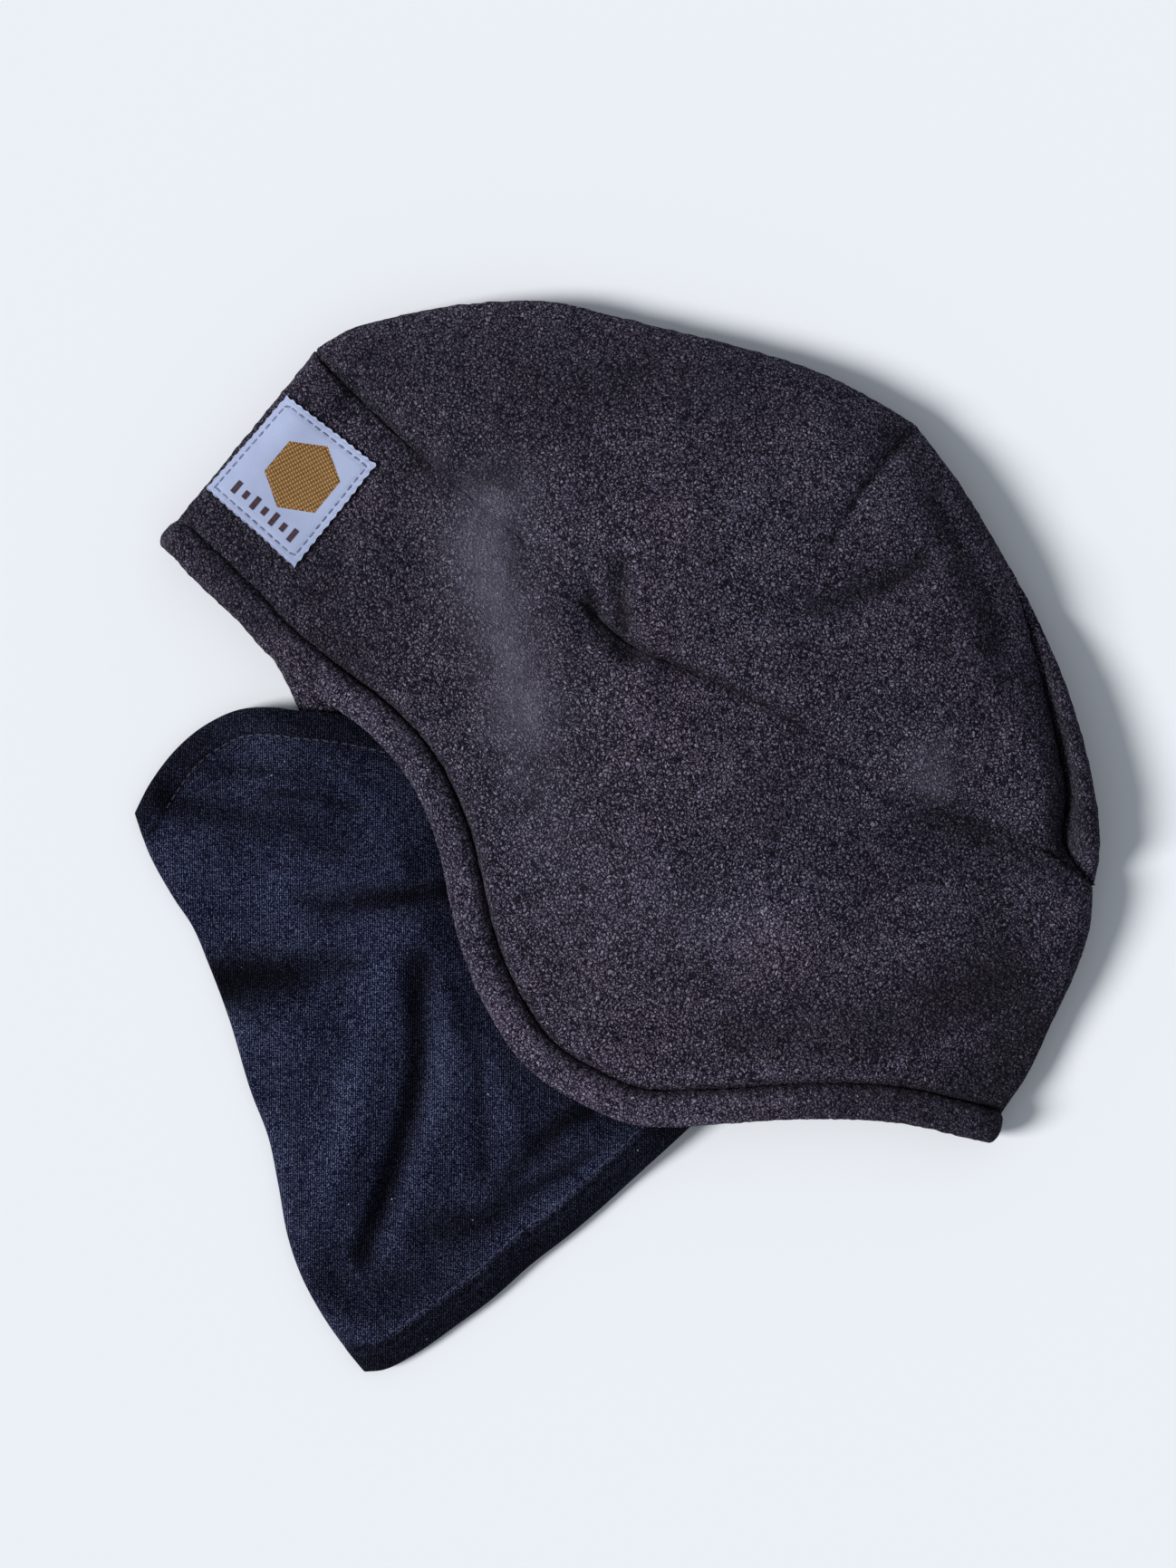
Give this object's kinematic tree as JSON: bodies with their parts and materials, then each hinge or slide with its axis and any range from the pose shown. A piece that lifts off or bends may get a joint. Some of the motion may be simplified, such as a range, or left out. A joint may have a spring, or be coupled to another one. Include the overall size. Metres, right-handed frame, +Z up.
{
  "type": "fleece winter hat with face mask",
  "caption": "Fleece winter hat with ear flaps and a jersey face mask that pulls out from between its two sides, lying flat on its side.",
  "frame": {"origin": "centre of the hat's bounding box, on the surface that the hat lies on", "axes": "+X from the brow to the nape, +Y from the ear flaps and mask to the top of the crown, +Z up from the table towards the left side"},
  "size_m": [0.321, 0.342, 0.034],
  "materials": {
    "fleece": "matte brushed polyester fleece, dark charcoal",
    "binding": "matte brushed fleece strip, rolled over the edge",
    "jersey": "fine knitted jersey, dark navy",
    "fleece_thread": "spun polyester thread, charcoal",
    "mask_thread": "textured polyester thread, navy",
    "label": "woven satin, pale blue-grey",
    "label_gold": "woven twill, dull gold",
    "label_dark": "polyester thread, slate blue",
    "care_label": "plain woven ribbon, off-white"
  },
  "bodies": {
    "hat": {"left_crown_panel": "fleece", "right_crown_panel": "fleece", "left_ear_band": "fleece", "right_ear_band": "fleece", "left_edge_binding": "binding", "right_edge_binding": "binding", "centre_seam_overlock": "fleece_thread", "left_crown_seam_overlock": "fleece_thread", "right_crown_seam_overlock": "fleece_thread", "left_dart_overlock": "fleece_thread", "right_dart_overlock": "fleece_thread", "left_binding_stitching": "fleece_thread", "right_binding_stitching": "fleece_thread", "woven_label": "label", "label_emblem": "label_gold", "label_marks": "label_dark", "label_border_stitching": "label_dark", "care_label": "care_label"},
    "mask": {"left_mask_panel": "jersey", "right_mask_panel": "jersey", "mask_front_seam_overlock": "mask_thread", "mask_top_stitching": "mask_thread", "mask_bottom_stitching": "mask_thread", "mask_tacks": "mask_thread"}
  },
  "joints": [
    {"name": "mask_tuck", "type": "slide", "parent": "hat", "child": "mask", "axis": [0, 1, 0], "range_m": [0, 0.11]}
  ]
}
